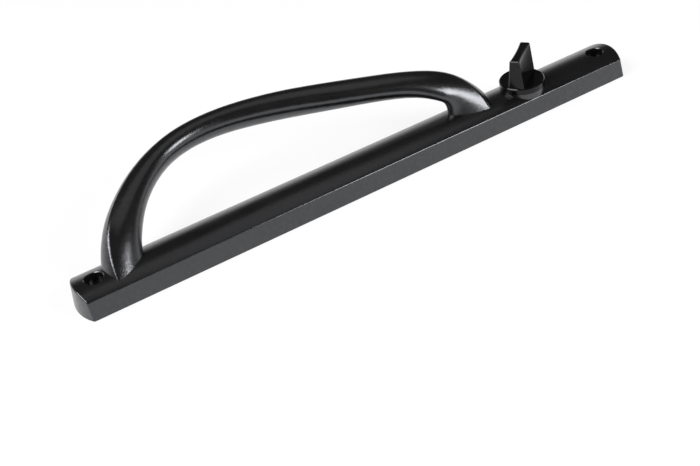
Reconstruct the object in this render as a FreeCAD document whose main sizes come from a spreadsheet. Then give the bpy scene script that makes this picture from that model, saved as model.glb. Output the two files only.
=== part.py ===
import FreeCAD, Part
import math
import os

import Sketcher

# Inside handle of a sliding patio door: a cast plate with a pull loop, and the thumbturn that works the lock.
# Millimetres. X runs along the plate towards the thumbturn, Y to the side that the loop leans to, and Z out
# of the door. The origin lies midway between the two screw holes, on the back of the plate.

vector = FreeCAD.Vector

sizes = {
    # crowned plate
    "hole_spacing": 260.0,
    "end_margin": 7.3,
    "end_bulge": 3.6,
    "plate_width": 25.0,
    "plate_draft": 1.8,
    "end_draft": 1.1,
    "plate_side": 8.3,
    "plate_crown": 3.1,
    "plate_corner_round": 1.2,
    "plate_edge_round": 0.7,
    "cut_margin": 1.0,
    # cored back of the plate
    "plate_wall": 2.5,
    "screw_boss_wall": 2.6,
    "turn_boss_wall": 2.4,
    "bay_count": 5,
    "rib_thick": 2.0,
    # screw holes
    "screw_hole": 4.8,
    "screw_head": 8.2,
    "screw_head_depth": 4.5,
    "screw_rim": 0.35,
    # thumbturn and its seat
    "turn_x": 86.8,
    "turn_angle": 38.0,
    "seat_rise": 0.15,
    "skirt_gap": 0.05,
    "skirt_rim": 0.05,
    "skirt_thick": 2.85,
    "skirt_bevel": 0.4,
    "shaft_dia": 12.0,
    "shaft_clearance": 0.08,
    "shaft_land": 2.0,
    "bearing_long": 6.0,
    "recess_dia": 19.2,
    "socket_side": 6.5,
    "socket_depth": 8.0,
    "paddle_rise": 14.0,
    "paddle_root": 0.7,
    "paddle_foot_long": 19.6,
    "paddle_foot_thick": 7.8,
    "paddle_top_long": 19.4,
    "paddle_top_thick": 4.9,
    "paddle_dish": 0.6,
    "dish_run_out": 1.0,
    "paddle_bevel": 0.4,
    # spring washer and retaining ring behind the plate
    "washer_bore_gap": 0.2,
    "washer_width": 2.2,
    "washer_sheet": 0.4,
    "washer_wave": 0.6,
    "washer_gap": 0.05,
    "ring_thick": 1.0,
    "ring_width": 1.9,
    "ring_gap": 0.05,
    "ring_fit": 0.02,
    "groove_depth": 0.5,
    "ring_opening": 3.2,
    "ring_lug": 3.4,
    "lug_hole": 1.4,
    # pull loop
    "loop_lean": 69.6,
    "crease_round": 0.7,
}

# Stations of the pull loop from one foot to the other: x, y, z, width and thickness. They are the control
# points of the loop's centre line, and the width and the thickness follow the same kind of curve.
loop_stations = {
    "left_foot": (-116.9, 0.8, 7.5, 19.9, 16.0),
    "left_rise": (-116.7, 7.0, 18.5, 16.9, 11.6),
    "left_bend": (-84.5, 48.7, 31.8, 8.2, 9.3),
    "grip_left": (-29.6, 39.7, 32.1, 12.0, 12.2),
    "grip_right": (3.6, 27.1, 29.6, 13.0, 10.8),
    "right_bend": (59.2, 5.9, 26.6, 12.5, 6.9),
    "right_foot": (58.0, 0.1, 7.5, 24.6, 11.2),
}
station_fields = ("x", "y", "z", "width", "thick")
loop_sections = 17      # sections that the loop is lofted through
foot_blend = 0.15       # share of the loop at each end over which its sections turn flat onto the plate
curve_degree = 3

# Section of the loop in half widths (outwards) and half thicknesses (to the front): first the crease on its
# outer front edge, then the poles of the round side that leads from the crease over the back to the crease
# again. Along the grip it is a rounded bar, and at a foot the crease runs out into a toe.
grip_section = ((0.56, 0.94), (1.06, 0.32), (1.06, -0.80), (0.20, -1.16), (-0.85, -1.02), (-1.16, 0.00),
                (-0.95, 0.92), (-0.10, 1.14))
foot_section = ((0.54, 1.32), (0.98, 0.62), (0.97, -0.70), (0.25, -1.12), (-0.85, -0.95), (-1.12, -0.10),
                (-0.75, 0.75), (0.05, 1.26))
washer_waves = 3
washer_points = 12      # points that each rim of the spring washer is drawn through
foot_reach = 0.22       # share of the loop at each end over which the one section turns into the other

for station, row in loop_stations.items():
    for field, number in zip(station_fields, row):
        sizes[f"{station}_{field}"] = number

# Sizes that follow from the ones above.
derived = {
    "plate_height": "=plate_side + plate_crown",
    "half_width": "=plate_width / 2",
    "skirt_radius": "=sqrt((paddle_foot_long / 2) ^ 2 + (paddle_foot_thick / 2) ^ 2) + skirt_rim",
    "recess_radius": "=recess_dia / 2",
    "bearing_radius": "=shaft_dia / 2 + shaft_clearance",
    "half_top": "=plate_width / 2 - plate_draft",
    "half_length": "=hole_spacing / 2 + end_margin + end_bulge",
    "crown_radius": "=(half_top ^ 2 + plate_crown ^ 2) / (2 * plate_crown)",
    "end_radius": "=(half_width ^ 2 + end_bulge ^ 2) / (2 * end_bulge)",
    "side_slope": "=plate_draft / plate_side",
    "crown_centre": "=plate_height - crown_radius",
    "core_radius": "=crown_radius - plate_wall",
    "core_top": "=plate_height - plate_wall",
    "core_half": "=half_width - plate_wall * sqrt(1 + side_slope ^ 2)",
    "core_lift": "=core_half * side_slope + crown_centre",
    "core_drop": "=(1 + side_slope ^ 2) * (core_half ^ 2 + crown_centre ^ 2 - core_radius ^ 2)",
    "core_shoulder": "=(core_lift + sqrt(core_lift ^ 2 - core_drop)) / (1 + side_slope ^ 2)",
    "core_reach": "=core_half - side_slope * core_shoulder",
    "cavity_start": "=-hole_spacing / 2 + screw_head / 2 + screw_boss_wall",
    "cavity_end": "=turn_x - recess_radius - turn_boss_wall",
    "tail_start": "=turn_x + recess_radius + turn_boss_wall",
    "tail_end": "=hole_spacing / 2 - screw_head / 2 - screw_boss_wall",
    "bay_pitch": "=(cavity_end - cavity_start + rib_thick) / bay_count",
    "seat_top": "=plate_height + seat_rise",
    "skirt_foot": "=seat_top + skirt_gap",
    "skirt_top": "=skirt_foot + skirt_thick",
    "bearing_foot": "=seat_top - bearing_long",
    "washer_foot": "=bearing_foot - washer_gap - washer_wave - washer_sheet",
    "ring_foot": "=washer_foot - washer_gap - ring_thick",
    "shaft_foot": "=ring_foot - ring_gap - shaft_land",
    "groove_radius": "=shaft_dia / 2 - groove_depth",
    "ring_bore": "=groove_radius + ring_fit",
    "paddle_lean": "=atan((paddle_foot_thick - paddle_top_thick) / 2 / (paddle_rise + paddle_root)) / 1 deg",
    "dish_reach": "=max(paddle_foot_long; paddle_top_long) / 2 + dish_run_out",
    "dish_radius": "=(dish_reach ^ 2 + paddle_dish ^ 2) / (2 * paddle_dish)",
    "lug_across": "=ring_opening / 2 + ring_lug / 2",
    "lug_out": "=sqrt((ring_bore + ring_lug / 2) ^ 2 - lug_across ^ 2)",
}

doc = FreeCAD.newDocument("patio_door_handle")
sheet = doc.addObject("Spreadsheet::Sheet", "sizes")
for line, (name, content) in enumerate({**sizes, **derived}.items(), 1):
    sheet.set(f"A{line}", name)
    sheet.set(f"B{line}", str(content))
    sheet.setAlias(f"B{line}", name)
doc.recompute()


def size(name):
    return float(sheet.get(name))


def new_body(name):
    body = doc.addObject("PartDesign::Body", name)
    body.Label = name
    return body


def origin_part(body, role):
    return next(feature for feature in body.Origin.OriginFeatures if feature.Role == role)


def new_sketch(body, name, role="XY_Plane", shift=None):
    sketch = body.newObject("Sketcher::SketchObject", name)
    sketch.AttachmentSupport = [(origin_part(body, role), "")]
    sketch.MapMode = "FlatFace"
    if shift is not None:
        sketch.setExpression("AttachmentOffset.Base.z", shift)
    return sketch


def new_feature(body, kind, name, **settings):
    feature = body.newObject(f"PartDesign::{kind}", name)
    for key, value in settings.items():
        setattr(feature, key, value)
    return feature


def draw_lines(sketch, points):
    # A closed run of straight lines through the points.
    for start, end in zip(points, points[1:] + points[:1]):
        draw_line(sketch, start, end)
    join_ends(sketch, range(len(points)))


def draw_arc(sketch, start, middle, end):
    points = [vector(x, y, 0) for x, y in (start, middle, end)]
    return sketch.addGeometry(Part.Arc(*points))


def draw_line(sketch, start, end):
    return sketch.addGeometry(Part.LineSegment(vector(*start, 0), vector(*end, 0)))


def draw_circle(sketch, x, y, radius):
    return sketch.addGeometry(Part.Circle(vector(x, y, 0), vector(0, 0, 1), radius))


def join_ends(sketch, run):
    # Makes each end of a run of curves coincident with the end of another that lies on it.
    ends = [(geometry, place) for geometry in run for place in (1, 2)]
    for index, first in enumerate(ends):
        for second in ends[index + 1:]:
            apart = sketch.getPoint(*first).distanceToPoint(sketch.getPoint(*second))
            if first[0] != second[0] and apart < 1e-6:
                sketch.addConstraint(Sketcher.Constraint("Coincident", *first, *second))


def bind(sketch, kind, where, drawn, formula):
    index = sketch.addConstraint(Sketcher.Constraint(kind, *where, drawn))
    sketch.setExpression(f"Constraints[{index}]", formula)


def bind_x(sketch, first, second, formula):
    drawn = sketch.getPoint(*second).x - sketch.getPoint(*first).x
    bind(sketch, "DistanceX", (*first, *second), drawn, formula)


def bind_y(sketch, first, second, formula):
    drawn = sketch.getPoint(*second).y - sketch.getPoint(*first).y
    bind(sketch, "DistanceY", (*first, *second), drawn, formula)


def bind_radius(sketch, geometry, formula):
    bind(sketch, "Radius", (geometry,), sketch.Geometry[geometry].Radius, formula)


def mirror_points(sketch, first, second, axis):
    sketch.addConstraint(Sketcher.Constraint("Symmetric", *first, *second, axis))


def hold_rectangle(sketch, width, height):
    # Keeps four lines, drawn round from the lower left corner, as a rectangle about the origin.
    for line in range(4):
        sketch.addConstraint(Sketcher.Constraint("Vertical" if line % 2 else "Horizontal", line))
    sketch.addConstraint(Sketcher.Constraint("Symmetric", 0, 1, 1, 2, *origin))
    bind_x(sketch, (0, 1), (0, 2), width)
    bind_y(sketch, (1, 1), (1, 2), height)


def edges_where(feature, test):
    return [f"Edge{number}" for number, edge in enumerate(feature.Shape.Edges, 1) if test(edge)]


def near(first, second, slack=0.02):
    return abs(first - second) < slack


origin = (-1, 1)                # the sketch's own origin, and the numbers of its two axes
axis_x, axis_y = origin[0], origin[0] - 1


def crowned_profile(body, name, start, base, reach, shoulder, top, radius):
    # Flat base, two drafted sides and a crown, across the plate.
    sketch = new_sketch(body, name, "YZ_Plane", start)
    half = size(base)
    out = size(reach)
    rise = size(shoulder)
    draw_line(sketch, (-half, 0), (half, 0))
    draw_line(sketch, (half, 0), (out, rise))
    draw_arc(sketch, (out, rise), (0, size(top)), (-out, rise))
    draw_line(sketch, (-out, rise), (-half, 0))
    join_ends(sketch, range(4))
    sketch.addConstraint(Sketcher.Constraint("PointOnObject", 0, 1, axis_x))
    mirror_points(sketch, (0, 1), (0, 2), axis_y)
    mirror_points(sketch, (1, 2), (3, 1), axis_y)
    bind_x(sketch, (0, 1), (0, 2), f"2 * sizes.{base}")
    bind_x(sketch, (3, 1), (1, 2), f"2 * sizes.{reach}")
    bind_y(sketch, (0, 2), (1, 2), f"sizes.{shoulder}")
    bind_radius(sketch, 2, f"sizes.{radius}")
    return sketch


def plate_bar(body):
    sketch = crowned_profile(body, "bar_profile", "0", "half_width", "half_top", "plate_side",
                             "plate_height", "crown_radius")
    pad = new_feature(body, "Pad", "bar", Profile=sketch, SideType="Symmetric")
    pad.setExpression("Length", "2 * (sizes.half_length + sizes.cut_margin)")
    doc.recompute()


def end_outline(body, name, level):
    # What an end of the bar loses at one level: all that lies past an arc that bulges outwards.
    inset = f"sizes.end_draft * ({level}) / sizes.plate_side"
    sketch = new_sketch(body, name, shift=level)
    doc.recompute()
    half_length = size("half_length") - size("end_draft") * sketch.AttachmentOffset.Base.z / size("plate_side")
    radius = size("end_radius")
    side = size("half_width") + size("cut_margin")
    side_x = half_length - radius + math.sqrt(radius ** 2 - side ** 2)
    outer_x = size("half_length") + 2 * size("cut_margin")
    draw_arc(sketch, (side_x, -side), (half_length, 0), (side_x, side))
    draw_line(sketch, (side_x, side), (outer_x, side))
    draw_line(sketch, (outer_x, side), (outer_x, -side))
    draw_line(sketch, (outer_x, -side), (side_x, -side))
    join_ends(sketch, range(4))
    bind_radius(sketch, 0, "sizes.end_radius")
    bind_x(sketch, origin, (0, 3), f"sizes.half_length - sizes.end_radius - {inset}")
    sketch.addConstraint(Sketcher.Constraint("Horizontal", 1))
    mirror_points(sketch, (0, 1), (0, 2), axis_x)
    mirror_points(sketch, (2, 1), (2, 2), axis_x)
    bind_y(sketch, (0, 1), (0, 2), "sizes.plate_width + 2 * sizes.cut_margin")
    bind_x(sketch, origin, (2, 1), "sizes.half_length + 2 * sizes.cut_margin")
    return sketch


def end_cuts(body):
    # Each end of the bar is cut to an arc, and leans in a little towards the top.
    foot = end_outline(body, "end_outline_foot", "-sizes.cut_margin")
    top = end_outline(body, "end_outline_top", "sizes.plate_height + sizes.cut_margin")
    cut = new_feature(body, "SubtractiveLoft", "end_cut", Profile=foot, Sections=[top], Ruled=True)
    doc.recompute()
    both = new_feature(body, "Mirrored", "both_ends", Originals=[cut])
    both.MirrorPlane = (origin_part(body, "YZ_Plane"), [""])
    body.Tip = both
    doc.recompute()
    return both


def round_plate(body, base):
    def upright(edge):
        ends = [vertex.Z for vertex in edge.Vertexes]
        return near(min(ends), 0) and near(max(ends), size("plate_side"), 0.3)

    corners = new_feature(body, "Fillet", "corner_round", Base=(base, edges_where(base, upright)))
    corners.setExpression("Radius", "sizes.plate_corner_round")
    doc.recompute()

    def rim(edge):
        # the rim of the crown lies between its sharp shoulders and its top, and isn't upright
        box = edge.BoundBox
        low = size("plate_side") - size("plate_corner_round")
        along = box.XLength > 10 or box.YLength > 0.2
        return box.ZMin > low and along

    edges = new_feature(body, "Fillet", "rim_round", Base=(corners, edges_where(corners, rim)))
    edges.setExpression("Radius", "sizes.plate_edge_round")
    doc.recompute()
    return edges


def smooth_curve(poles):
    # A curve that starts on the first pole, ends on the last and is drawn towards the ones between.
    spans = len(poles) - curve_degree
    ends = curve_degree + 1
    counts = [ends] + [1] * (spans - 1) + [ends]
    curve = Part.BSplineCurve()
    curve.buildFromPolesMultsKnots(poles, counts, list(range(spans + 1)), False, curve_degree)
    return curve


def station_curve(fields):
    poles = [vector(*(size(f"{station}_{field}") for field in fields)) for station in loop_stations]
    return smooth_curve(poles)


def smooth(share):
    share = min(max(share, 0.0), 1.0)
    return share * share * (3 - 2 * share)


def mixed(first, second, share):
    return first * (1 - share) + second * share


def loop_section(body, number, frame, half_width, half_thick, foot_share):
    sketch = body.newObject("Sketcher::SketchObject", f"loop_section_{number}")
    sketch.AttachmentSupport = [(origin_part(body, "XY_Plane"), "")]
    sketch.MapMode = "FlatFace"
    sketch.AttachmentOffset = frame
    corner, *poles = [vector(mixed(grip[0], foot[0], foot_share) * half_width,
                             mixed(grip[1], foot[1], foot_share) * half_thick, 0)
                      for grip, foot in zip(grip_section, foot_section)]
    start = corner + (poles[-1] - corner).normalize() * size("crease_round")
    end = corner + (poles[0] - corner).normalize() * size("crease_round")
    crease = Part.BSplineCurve()
    crease.buildFromPolesMultsKnots([start, corner, end], [3, 3], [0, 1], False, 2)
    sketch.addGeometry(crease)
    sketch.addGeometry(smooth_curve([end, *poles, start]))
    join_ends(sketch, range(2))
    return sketch


def pull_loop(body):
    # The loop is lofted through sections that stand across its centre line. At each foot they turn until
    # they lie flat inside the plate.
    route = station_curve(("x", "y", "z"))
    girth = station_curve(("width", "thick", "z"))
    lean = math.radians(size("loop_lean"))
    face = vector(0, -math.cos(lean), math.sin(lean))
    up = vector(0, 0, 1)
    sketches = []
    for number in range(loop_sections):
        share = (1 - math.cos(math.pi * number / (loop_sections - 1))) / 2
        place = share * route.LastParameter
        first = smooth(1 - share / foot_blend)
        last = smooth(1 - (1 - share) / foot_blend)
        run = route.tangent(place)[0]
        along = (run * (1 - first - last) + up * (first - last)).normalize()
        outwards = face.cross(along).normalize()
        front = along.cross(outwards)
        frame = FreeCAD.Placement(route.value(place), FreeCAD.Rotation(outwards, front, along, "ZXY"))
        width, thick, _ = girth.value(place)
        foot_share = smooth(1 - min(share, 1 - share) / foot_reach)
        sketches.append(loop_section(body, number, frame, width / 2, thick / 2, foot_share))
    new_feature(body, "AdditiveLoft", "pull_loop", Profile=sketches[0], Sections=sketches[1:])
    doc.recompute()


def turn_circle(body, name, radius):
    sketch = new_sketch(body, name)
    circle = draw_circle(sketch, size("turn_x"), 0, size(radius))
    sketch.addConstraint(Sketcher.Constraint("PointOnObject", circle, 3, axis_x))
    bind_x(sketch, origin, (circle, 3), "sizes.turn_x")
    bind_radius(sketch, circle, f"sizes.{radius}")
    return sketch


def turn_seat(body):
    # Round seat on the crown, as wide as the skirt that turns on it.
    seat = new_feature(body, "Pad", "turn_seat", Profile=turn_circle(body, "seat_outline", "skirt_radius"))
    seat.setExpression("Length", "sizes.seat_top")
    doc.recompute()


def turn_bore(body):
    # Bearing for the shaft, and a recess behind it for the spring washer and the ring.
    for name, radius, depth in (("turn_recess", "recess_radius", "sizes.bearing_foot"),
                                ("turn_bearing", "bearing_radius", "sizes.seat_top + sizes.cut_margin")):
        sketch = turn_circle(body, f"{name}_outline", radius)
        pocket = new_feature(body, "Pocket", name, Profile=sketch, Reversed=True)
        pocket.setExpression("Length", depth)
        doc.recompute()


def cavity(body, name, start, length):
    # A crowned pocket in the back of the plate, one wall inside its outline.
    sketch = crowned_profile(body, f"{name}_profile", start, "core_half", "core_reach", "core_shoulder",
                             "core_top", "core_radius")
    pocket = new_feature(body, "Pocket", name, Profile=sketch, Reversed=True)
    pocket.setExpression("Length", length)
    doc.recompute()
    return pocket


def cored_back(body):
    bay = cavity(body, "bay", "sizes.cavity_start", "sizes.bay_pitch - sizes.rib_thick")
    bays = new_feature(body, "LinearPattern", "bays", Originals=[bay], Mode="Spacing")
    bays.Direction = (origin_part(body, "X_Axis"), [""])
    bays.setExpression("Offset", "sizes.bay_pitch")
    bays.setExpression("Occurrences", "sizes.bay_count")
    body.Tip = bays
    doc.recompute()
    cavity(body, "tail_cavity", "sizes.tail_start", "sizes.tail_end - sizes.tail_start")


def screw_holes(body):
    sketch = new_sketch(body, "screw_places", shift="sizes.plate_height")
    for side in (-1, 1):
        circle = draw_circle(sketch, side * size("hole_spacing") / 2, 0, size("screw_hole") / 2)
        sketch.addConstraint(Sketcher.Constraint("PointOnObject", circle, 3, axis_x))
        ends = ((circle, 3), origin) if side < 0 else (origin, (circle, 3))
        bind_x(sketch, *ends, "sizes.hole_spacing / 2")
        bind_radius(sketch, circle, "sizes.screw_hole / 2")
    doc.recompute()
    hole = new_feature(body, "Hole", "screw_holes", Profile=sketch, DepthType="ThroughAll")
    hole.HoleCutType = "Counterbore"
    hole.HoleCutCustomValues = True
    hole.setExpression("Diameter", "sizes.screw_hole")
    hole.setExpression("HoleCutDiameter", "sizes.screw_head")
    hole.setExpression("HoleCutDepth", "sizes.screw_head_depth")
    doc.recompute()

    def mouth(edge):
        # all ends of the edge lie on the counterbore's wall, up on the crown
        ends = [vertex.Point for vertex in edge.Vertexes]
        off_axis = [math.hypot(abs(end.x) - size("hole_spacing") / 2, end.y) for end in ends]
        on_wall = all(near(away, size("screw_head") / 2) for away in off_axis)
        return on_wall and all(end.z > size("plate_side") for end in ends)

    rim = new_feature(body, "Chamfer", "screw_rim", Base=(hole, edges_where(hole, mouth)))
    rim.setExpression("Size", "sizes.screw_rim")
    doc.recompute()


def handle_casting():
    body = new_body("handle_casting")
    plate_bar(body)
    round_plate(body, end_cuts(body))
    pull_loop(body)
    turn_seat(body)
    cored_back(body)
    turn_bore(body)
    screw_holes(body)
    return body


def turned_shaft(body):
    # Skirt, shaft and the ring's groove as one turned outline round the axis.
    shaft = size("shaft_dia") / 2
    skirt = size("skirt_radius")
    groove = size("groove_radius")
    groove_foot = size("ring_foot") - size("ring_gap")
    groove_top = size("washer_foot") - size("washer_gap") + size("ring_gap")
    shaft_foot = size("shaft_foot")
    skirt_foot = size("skirt_foot")
    skirt_top = size("skirt_top")
    bevel = size("skirt_bevel")
    steps = ((skirt - bevel, skirt_top), (0, skirt_top), (0, shaft_foot), (shaft, shaft_foot),
             (shaft, groove_foot), (groove, groove_foot), (groove, groove_top), (shaft, groove_top),
             (shaft, skirt_foot), (skirt, skirt_foot), (skirt, skirt_top - bevel))
    sketch = new_sketch(body, "turned_outline", "XZ_Plane")
    draw_lines(sketch, steps)
    slant = len(steps) - 1
    for line in range(slant):
        level = near(sketch.getPoint(line, 1).y, sketch.getPoint(line, 2).y)
        sketch.addConstraint(Sketcher.Constraint("Horizontal" if level else "Vertical", line))
    sketch.addConstraint(Sketcher.Constraint("PointOnObject", 1, 1, axis_y))
    bind_x(sketch, (slant, 2), (slant, 1), "sizes.skirt_bevel")
    bind_y(sketch, (slant, 1), (slant, 2), "sizes.skirt_bevel")
    bind_x(sketch, (2, 1), (2, 2), "sizes.shaft_dia / 2")
    bind_x(sketch, (2, 1), (4, 2), "sizes.groove_radius")
    bind_x(sketch, (2, 1), (6, 2), "sizes.shaft_dia / 2")
    bind_x(sketch, (2, 1), (8, 2), "sizes.skirt_radius")
    bind_y(sketch, origin, (2, 1), "sizes.shaft_foot")
    bind_y(sketch, (3, 1), (3, 2), "sizes.shaft_land")
    bind_y(sketch, (5, 1), (5, 2), "sizes.ring_thick + 2 * sizes.ring_gap")
    bind_y(sketch, origin, (8, 1), "sizes.skirt_foot")
    bind_y(sketch, (8, 1), (0, 2), "sizes.skirt_thick")
    turned = new_feature(body, "Revolution", "turned_shaft", Profile=sketch, Angle=360)
    turned.ReferenceAxis = (sketch, ["V_Axis"])
    doc.recompute()


def paddle_section(body, name, level, long, thick):
    half_long = size(long) / 2
    half_thick = size(thick) / 2
    sketch = new_sketch(body, name, shift=level)
    draw_lines(sketch, ((-half_long, -half_thick), (half_long, -half_thick),
                        (half_long, half_thick), (-half_long, half_thick)))
    hold_rectangle(sketch, f"sizes.{long}", f"sizes.{thick}")
    return sketch


def finger_dish(body):
    # The broad sides of the paddle are hollowed for the fingers by a wide cylinder that leans with the side.
    sketch = new_sketch(body, "dish_outline", shift="sizes.skirt_top - sizes.paddle_root")
    sketch.AttachmentOffset = FreeCAD.Placement(vector(), FreeCAD.Rotation(vector(1, 0, 0), 1))
    sketch.setExpression("AttachmentOffset.Rotation.Angle", "sizes.paddle_lean")
    side = size("paddle_foot_thick") / 2 * math.cos(math.radians(size("paddle_lean")))
    circle = draw_circle(sketch, 0, side - size("paddle_dish") + size("dish_radius"), size("dish_radius"))
    sketch.addConstraint(Sketcher.Constraint("PointOnObject", circle, 3, axis_y))
    bind_radius(sketch, circle, "sizes.dish_radius")
    bind_y(sketch, origin, (circle, 3), "sizes.paddle_foot_thick / 2 * cos(sizes.paddle_lean * 1 deg)"
                                        " - sizes.paddle_dish + sizes.dish_radius")
    dish = new_feature(body, "Pocket", "finger_dish", Profile=sketch, Type="ThroughAll", SideType="Symmetric")
    doc.recompute()
    both = new_feature(body, "Mirrored", "both_dishes", Originals=[dish])
    both.MirrorPlane = (origin_part(body, "XZ_Plane"), [""])
    body.Tip = both
    doc.recompute()
    return both


def paddle(body):
    foot = paddle_section(body, "paddle_foot", "sizes.skirt_top - sizes.paddle_root", "paddle_foot_long",
                          "paddle_foot_thick")
    top = paddle_section(body, "paddle_top", "sizes.skirt_top + sizes.paddle_rise", "paddle_top_long",
                         "paddle_top_thick")
    new_feature(body, "AdditiveLoft", "paddle", Profile=foot, Sections=[top], Ruled=True)
    doc.recompute()
    blade = finger_dish(body)

    def upright(edge):
        return edge.BoundBox.ZLength > size("paddle_rise")

    corners = new_feature(body, "Chamfer", "paddle_corners", Base=(blade, edges_where(blade, upright)))
    corners.setExpression("Size", "sizes.paddle_bevel")
    doc.recompute()

    def top_edge(edge):
        return near(edge.BoundBox.ZMin, size("skirt_top") + size("paddle_rise"))

    rim = new_feature(body, "Chamfer", "paddle_rim", Base=(corners, edges_where(corners, top_edge)))
    rim.setExpression("Size", "sizes.paddle_bevel")
    doc.recompute()


def drive_socket(body):
    half = size("socket_side") / 2
    sketch = new_sketch(body, "socket_outline", shift="sizes.shaft_foot")
    draw_lines(sketch, ((-half, -half), (half, -half), (half, half), (-half, half)))
    hold_rectangle(sketch, "sizes.socket_side", "sizes.socket_side")
    socket = new_feature(body, "Pocket", "drive_socket", Profile=sketch, Reversed=True)
    socket.setExpression("Length", "sizes.socket_depth")
    doc.recompute()


def on_turn_axis(item):
    item.setExpression("Placement.Base.x", "sizes.turn_x")
    item.setExpression("Placement.Rotation.Angle", "sizes.turn_angle")


def thumbturn():
    body = new_body("thumbturn")
    paddle(body)
    turned_shaft(body)
    drive_socket(body)
    on_turn_axis(body)
    return body


def retaining_ring():
    # Open snap ring with two lugs for its pliers.
    body = new_body("retaining_ring")
    bore = size("ring_bore")
    outer = bore + size("ring_width")
    across = size("lug_across")
    out = size("lug_out")
    band = new_sketch(body, "ring_outline", shift="sizes.ring_foot")
    for radius, formula in ((bore, "sizes.ring_bore"), (outer, "sizes.ring_bore + sizes.ring_width")):
        circle = draw_circle(band, 0, 0, radius)
        band.addConstraint(Sketcher.Constraint("Coincident", circle, 3, *origin))
        bind_radius(band, circle, formula)
    lugs = new_sketch(body, "lug_outline", shift="sizes.ring_foot")
    eyes = new_sketch(body, "lug_eyes", shift="sizes.ring_foot")
    for sketch, dia in ((lugs, "ring_lug"), (eyes, "lug_hole")):
        for side in (-1, 1):
            circle = draw_circle(sketch, out, side * across, size(dia) / 2)
            bind_x(sketch, origin, (circle, 3), "sizes.lug_out")
            ends = ((circle, 3), origin) if side < 0 else (origin, (circle, 3))
            bind_y(sketch, *ends, "sizes.lug_across")
            bind_radius(sketch, circle, f"sizes.{dia} / 2")
    gap = new_sketch(body, "opening_outline", shift="sizes.ring_foot")
    half = size("ring_opening") / 2
    draw_lines(gap, ((0, -half), (2 * outer, -half), (2 * outer, half), (0, half)))
    for line, kind in enumerate(("Horizontal", "Vertical", "Horizontal")):
        gap.addConstraint(Sketcher.Constraint(kind, line))
    mirror_points(gap, (3, 1), (3, 2), axis_x)
    gap.addConstraint(Sketcher.Constraint("PointOnObject", 3, 1, axis_y))
    bind_x(gap, (0, 1), (0, 2), "2 * (sizes.ring_bore + sizes.ring_width)")
    bind_y(gap, (1, 1), (1, 2), "sizes.ring_opening")
    for sketch in (band, lugs):
        pad = new_feature(body, "Pad", f"{sketch.Name}_pad", Profile=sketch)
        pad.setExpression("Length", "sizes.ring_thick")
        doc.recompute()
    for sketch in (gap, eyes):
        new_feature(body, "Pocket", f"{sketch.Name}_cut", Profile=sketch, Type="ThroughAll", Reversed=True)
        doc.recompute()
    on_turn_axis(body)
    return body


def wave_ring(radius):
    # A circle whose height rises and falls in even waves.
    middle = size("washer_foot") + size("washer_wave") / 2
    ring = []
    for number in range(washer_points):
        angle = 2 * math.pi * number / washer_points
        height = middle + size("washer_wave") / 2 * math.cos(washer_waves * angle)
        ring.append(vector(radius * math.cos(angle), radius * math.sin(angle), height))
    curve = Part.BSplineCurve()
    curve.interpolate(ring, PeriodicFlag=True)
    return curve.toShape()


def wave_washer():
    # Spring washer of thin sheet, bent into waves between the bearing and the ring.
    inner = size("shaft_dia") / 2 + size("washer_bore_gap")
    face = Part.makeRuledSurface(wave_ring(inner), wave_ring(inner + size("washer_width")))
    washer = doc.addObject("Part::Feature", "wave_washer")
    washer.Label = "wave_washer"
    washer.Shape = face.extrude(vector(0, 0, size("washer_sheet")))
    washer.setExpression("Placement.Base.x", "sizes.turn_x")
    return washer


pieces = [handle_casting(), thumbturn(), wave_washer(), retaining_ring()]
doc.recompute()

faults = [item.Name for item in doc.Objects if {"Invalid", "Error"} & set(item.State)]
faults += [piece.Label for piece in pieces if piece.Shape.isNull() or not piece.Shape.isValid()]
if faults:
    raise RuntimeError(f"faulty objects: {faults}")

os.makedirs("parts", exist_ok=True)
for piece in pieces:
    piece.Shape.exportStep(f"parts/{piece.Label}.step")
    print(piece.Label, round(piece.Shape.Volume), "mm3", len(piece.Shape.Faces), "faces")
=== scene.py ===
import math

import bpy
from mathutils import Matrix, Vector

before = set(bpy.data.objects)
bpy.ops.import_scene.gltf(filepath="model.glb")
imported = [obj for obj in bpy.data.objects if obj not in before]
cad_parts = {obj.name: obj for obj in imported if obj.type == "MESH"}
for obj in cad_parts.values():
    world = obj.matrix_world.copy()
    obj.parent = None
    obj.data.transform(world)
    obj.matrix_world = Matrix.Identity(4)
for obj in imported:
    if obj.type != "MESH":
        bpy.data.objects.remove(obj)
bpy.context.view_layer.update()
print("frame loaded:", sorted(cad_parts))


# node helpers
def setInput(tree, socket, value):
    if isinstance(value, bpy.types.NodeSocket):
        tree.links.new(value, socket)
    else:
        socket.default_value = value


def addNode(tree, kind, **inputs):
    node = tree.nodes.new(kind)
    for label, value in inputs.items():
        setInput(tree, node.inputs[label.replace("_", " ")], value)
    return node


def addMath(tree, operation, first, second):
    node = tree.nodes.new("ShaderNodeMath")
    node.operation = operation
    setInput(tree, node.inputs[0], first)
    setInput(tree, node.inputs[1], second)
    return node.outputs[0]


def addMix(tree, factor, first, second):
    node = tree.nodes.new("ShaderNodeMix")
    node.data_type = "RGBA"
    setInput(tree, node.inputs["Factor"], factor)
    setInput(tree, node.inputs["A"], first)
    setInput(tree, node.inputs["B"], second)
    return node.outputs["Result"]


def addRange(tree, value, fromLow, fromHigh, toLow, toHigh):
    node = addNode(tree, "ShaderNodeMapRange", Value=value, From_Min=fromLow, From_Max=fromHigh,
                   To_Min=toLow, To_Max=toHigh)
    return node.outputs["Result"]


def addNoise(tree, place, scale, detail):
    return addNode(tree, "ShaderNodeTexNoise", Vector=place, Scale=scale, Detail=detail).outputs[0]


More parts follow.
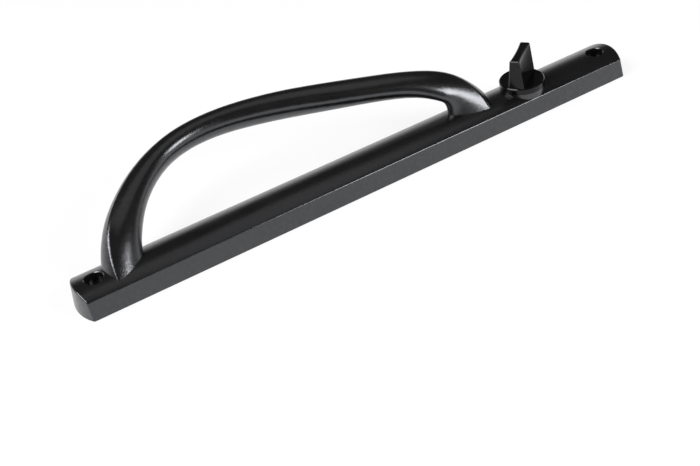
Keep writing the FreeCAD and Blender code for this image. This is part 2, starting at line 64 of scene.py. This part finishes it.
def newGroup(name, inputs, outputs):
    group = bpy.data.node_groups.new(name, "ShaderNodeTree")
    for label, kind in inputs.items():
        group.interface.new_socket(label, in_out="INPUT", socket_type=kind)
    for label, kind in outputs.items():
        group.interface.new_socket(label, in_out="OUTPUT", socket_type=kind)
    given = group.nodes.new("NodeGroupInput").outputs
    result = group.nodes.new("NodeGroupOutput").inputs
    return group, given, result


def placeGroup(tree, group, **inputs):
    node = tree.nodes.new("ShaderNodeGroup")
    node.node_tree = group
    for label, value in inputs.items():
        setInput(tree, node.inputs[label.replace("_", " ")], value)
    return node.outputs


number = "NodeSocketFloat"
colour = "NodeSocketColor"

# how the noises are drawn: detail levels, and the middle stretch of a noise that is spread to a full mask
grainDetail, peelDetail, cloudDetail, lineDetail = 2.0, 1.0, 4.0, 3.0
noiseLow, noiseHigh = 0.3, 0.7
patchLow, patchHigh = 0.35, 0.65
cloudShare, fineShare = 0.75, 0.25  # clouds and grain together make the tone
drawnOut = (0.04, 1.0, 1.0)  # rolled lines run along X


# powder coat: a fine grain over a shallow orange peel, both as height, the grain as a mask too,
# and the peel as patches of slightly higher gloss
def coatGrainGroup():
    group, given, result = newGroup(
        "coatGrain",
        {"Grain": number, "Peel": number, "Peel share": number, "Patch share": number},
        {"Height": number, "Mask": number, "Patches": number})
    place = addNode(group, "ShaderNodeTexCoord").outputs["Object"]
    grain = addNoise(group, place, given["Grain"], grainDetail)
    peel = addNoise(group, place, given["Peel"], peelDetail)
    peelHeight = addMath(group, "MULTIPLY", peel, given["Peel share"])
    patches = addRange(group, peel, patchLow, patchHigh, 0.0, given["Patch share"])
    group.links.new(addMath(group, "ADD", grain, peelHeight), result["Height"])
    group.links.new(grain, result["Mask"])
    group.links.new(patches, result["Patches"])
    return group


# tone: two colours of one finish in soft clouds, broken up by the grain,
# and a roughness that wanders with them
def toneGroup():
    group, given, result = newGroup(
        "tone",
        {"Dark": colour, "Light": colour, "Clouds": number, "Grain mask": number,
         "Smooth": number, "Rough": number},
        {"Color": colour, "Roughness": number})
    place = addNode(group, "ShaderNodeTexCoord").outputs["Object"]
    clouds = addNoise(group, place, given["Clouds"], cloudDetail)
    soft = addRange(group, clouds, noiseLow, noiseHigh, 0.0, cloudShare)
    fine = addRange(group, given["Grain mask"], noiseLow, noiseHigh, 0.0, fineShare)
    share = addMath(group, "ADD", soft, fine)
    spread = addMath(group, "SUBTRACT", given["Rough"], given["Smooth"])
    rough = addMath(group, "ADD", given["Smooth"], addMath(group, "MULTIPLY", share, spread))
    group.links.new(addMix(group, share, given["Dark"], given["Light"]), result["Color"])
    group.links.new(rough, result["Roughness"])
    return group


# rolled steel: fine lines along one way, as height and as a mask
def rolledGroup():
    group, given, result = newGroup("rolled", {"Lines": number}, {"Height": number, "Mask": number})
    place = addNode(group, "ShaderNodeTexCoord").outputs["Object"]
    drawn = addNode(group, "ShaderNodeMapping", Vector=place, Scale=drawnOut).outputs[0]
    lines = addNoise(group, drawn, given["Lines"], lineDetail)
    group.links.new(lines, result["Height"])
    group.links.new(lines, result["Mask"])
    return group


coatGrain = coatGrainGroup()
tone = toneGroup()
rolled = rolledGroup()
print("node groups built")


def newMaterial(name):
    material = bpy.data.materials.new(name)
    material.use_nodes = True
    tree = material.node_tree
    return material, tree, tree.nodes["Principled BSDF"]


# colour, roughness and bump, the same way for every finish
def dressShader(tree, shader, look, surface):
    finish = placeGroup(tree, tone, Dark=look["dark"], Light=look["light"], Clouds=look["clouds"],
                        Grain_mask=surface["Mask"], Smooth=look["smooth"], Rough=look["rough"])
    bump = addNode(tree, "ShaderNodeBump", Strength=look["bump"], Distance=look["relief"],
                   Height=surface["Height"])
    tree.links.new(finish["Color"], shader.inputs["Base Color"])
    tree.links.new(finish["Roughness"], shader.inputs["Roughness"])
    tree.links.new(bump.outputs[0], shader.inputs["Normal"])


def coatMaterial(name, look):
    material, tree, shader = newMaterial(name)
    surface = placeGroup(tree, coatGrain, Grain=look["grain"], Peel=look["peel"],
                         Peel_share=look["peelShare"], Patch_share=look["patchShare"])
    dressShader(tree, shader, look, surface)
    tree.links.new(surface["Patches"], shader.inputs["Coat Weight"])
    shader.inputs["Coat Roughness"].default_value = look["coatRough"]
    shader.inputs["Specular IOR Level"].default_value = look["gloss"]
    shader.inputs["Specular Tint"].default_value = look["sheen"]
    return material


def steelMaterial(name, look):
    material, tree, shader = newMaterial(name)
    dressShader(tree, shader, look, placeGroup(tree, rolled, Lines=look["lines"]))
    shader.inputs["Metallic"].default_value = 1.0
    return material


# noise scales are per metre, relief is in metres
satinBlack = dict(
    dark=(0.0042, 0.0040, 0.0040, 1), light=(0.0066, 0.0063, 0.0064, 1), clouds=55.0,
    grain=2400.0, peel=620.0, peelShare=1.2, smooth=0.20, rough=0.27, bump=0.48, relief=0.00004,
    gloss=0.95, patchShare=0.22, coatRough=0.30, sheen=(0.93, 0.95, 1.0, 1),
)
glossBlack = dict(
    dark=(0.0034, 0.0032, 0.0031, 1), light=(0.0052, 0.0049, 0.0048, 1), clouds=80.0,
    grain=3000.0, peel=520.0, peelShare=0.8, smooth=0.10, rough=0.15, bump=0.18, relief=0.00003,
    gloss=0.26, patchShare=0.06, coatRough=0.16, sheen=(0.96, 0.97, 1.0, 1),
)
springSteel = dict(
    dark=(0.40, 0.39, 0.38, 1), light=(0.56, 0.55, 0.54, 1), clouds=300.0,
    lines=3000.0, smooth=0.24, rough=0.38, bump=0.2, relief=0.00002,
)
blackenedSteel = dict(
    dark=(0.07, 0.07, 0.075, 1), light=(0.14, 0.14, 0.15, 1), clouds=400.0,
    lines=2600.0, smooth=0.3, rough=0.46, bump=0.2, relief=0.00002,
)

finishes = {
    "handle_casting": coatMaterial("satinBlackCoat", satinBlack),
    "thumbturn": coatMaterial("glossBlackCoat", glossBlack),
    "wave_washer": steelMaterial("springSteelSheet", springSteel),
    "retaining_ring": steelMaterial("blackenedSteelRing", blackenedSteel),
}
for nodeName, material in finishes.items():
    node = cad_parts[nodeName]
    node.data.materials.clear()
    node.data.materials.append(material)
print("finishes on:", sorted(finishes))

# floor: pale, a hair under the plate's back; white to the eye and to gloss, with part of the shadow kept
floorLook = dict(reach=8.0, level=-0.0002, shade=(0.90, 0.90, 0.90, 1), white=1.05, keptWhite=0.82)


def makeFloor(look):
    reach, level = look["reach"], look["level"]
    corners = [(-reach, -reach, level), (reach, -reach, level), (reach, reach, level), (-reach, reach, level)]
    mesh = bpy.data.meshes.new("floor")
    mesh.from_pydata(corners, [], [(0, 1, 2, 3)])
    floor = bpy.data.objects.new("floor", mesh)
    bpy.context.scene.collection.objects.link(floor)
    material, tree, shader = newMaterial("paleFloor")
    tree.nodes.remove(shader)
    path = addNode(tree, "ShaderNodeLightPath").outputs
    seen = addMath(tree, "MAXIMUM", path["Is Camera Ray"], path["Is Glossy Ray"])
    seen = addMath(tree, "MAXIMUM", seen, path["Is Transmission Ray"])
    plain = addNode(tree, "ShaderNodeBsdfDiffuse", Color=look["shade"])
    white = addNode(tree, "ShaderNodeEmission", Color=(1, 1, 1, 1), Strength=look["white"])
    mixed = tree.nodes.new("ShaderNodeMixShader")
    tree.links.new(addMath(tree, "MULTIPLY", seen, look["keptWhite"]), mixed.inputs[0])
    tree.links.new(plain.outputs[0], mixed.inputs[1])
    tree.links.new(white.outputs[0], mixed.inputs[2])
    tree.links.new(mixed.outputs[0], tree.nodes["Material Output"].inputs["Surface"])
    mesh.materials.append(material)


makeFloor(floorLook)
print("floor laid")

# soft boxes over the table, all turned to the middle of the part; metres and watts
softBoxes = {
    "frontBox": dict(place=(0.405, -0.657, 0.4635), width=0.34, depth=0.34, power=4.2),
    "leftBox": dict(place=(-1.018, 0.143, 1.226), width=1.16, depth=0.74, power=21.0),
    "topBox": dict(place=(0.19, 0.13, 0.87), width=0.50, depth=0.50, power=0.27),
}


def makeSoftBox(name, box):
    lamp = bpy.data.lights.new(name, "AREA")
    lamp.shape = "RECTANGLE"
    lamp.size = box["width"]
    lamp.size_y = box["depth"]
    lamp.energy = box["power"]
    lampObject = bpy.data.objects.new(name, lamp)
    place = Vector(box["place"])
    turn = (-place).to_track_quat("-Z", "Y").to_matrix().to_4x4()
    lampObject.matrix_world = Matrix.Translation(place) @ turn
    bpy.context.scene.collection.objects.link(lampObject)


for boxName, box in softBoxes.items():
    makeSoftBox(boxName, box)

# room: white low down, dim overhead and dim on the side that faces away from litSide
room = dict(
    white=1.0, dim=0.05, whiteUpTo=0.10, dimFrom=0.42,
    litSide=(0.77, 0.64, 0.0), shadedTo=-0.80, litFrom=-0.45,
)


def makeRoom(look):
    world = bpy.data.worlds.new("studio")
    world.use_nodes = True
    bpy.context.scene.world = world
    tree = world.node_tree
    way = addNode(tree, "ShaderNodeTexCoord").outputs["Generated"]
    height = addNode(tree, "ShaderNodeSeparateXYZ", Vector=way).outputs["Z"]
    level = addRange(tree, height, look["whiteUpTo"], look["dimFrom"], look["white"], look["dim"])
    facing = tree.nodes.new("ShaderNodeVectorMath")
    facing.operation = "DOT_PRODUCT"
    tree.links.new(way, facing.inputs[0])
    facing.inputs[1].default_value = look["litSide"]
    lit = addRange(tree, facing.outputs["Value"], look["shadedTo"], look["litFrom"],
                   look["dim"], look["white"])
    background = tree.nodes["Background"]
    background.inputs["Color"].default_value = (1, 1, 1, 1)
    tree.links.new(addMath(tree, "MULTIPLY", level, lit), background.inputs["Strength"])


makeRoom(room)
print("studio lit by:", sorted(softBoxes))

# camera at the photograph's angle: place and aim in metres, roll in degrees, lens and sensor in mm
cameraView = dict(
    place=(-0.18212, -0.38037, 0.27224),
    aim=(-0.03519, -0.04694, 0.012),
    roll=11.066,
    lens=57.28,
    sensor=36.0,
)


def setCamera(view):
    place = Vector(view["place"])
    forward = (Vector(view["aim"]) - place).normalized()
    level = forward.cross(Vector((0, 0, 1))).normalized()
    upright = level.cross(forward)
    roll = math.radians(view["roll"])
    right = level * math.cos(roll) - upright * math.sin(roll)
    up = upright * math.cos(roll) + level * math.sin(roll)
    camera = bpy.data.cameras.new("camera")
    camera.lens = view["lens"]
    camera.sensor_fit = "HORIZONTAL"
    camera.sensor_width = view["sensor"]
    cameraObject = bpy.data.objects.new("camera", camera)
    turn = Matrix((right, up, -forward)).transposed().to_4x4()
    cameraObject.matrix_world = Matrix.Translation(place) @ turn
    bpy.context.scene.collection.objects.link(cameraObject)
    bpy.context.scene.camera = cameraObject


setCamera(cameraView)
bpy.context.scene.view_settings.view_transform = "Standard"
print("camera set")
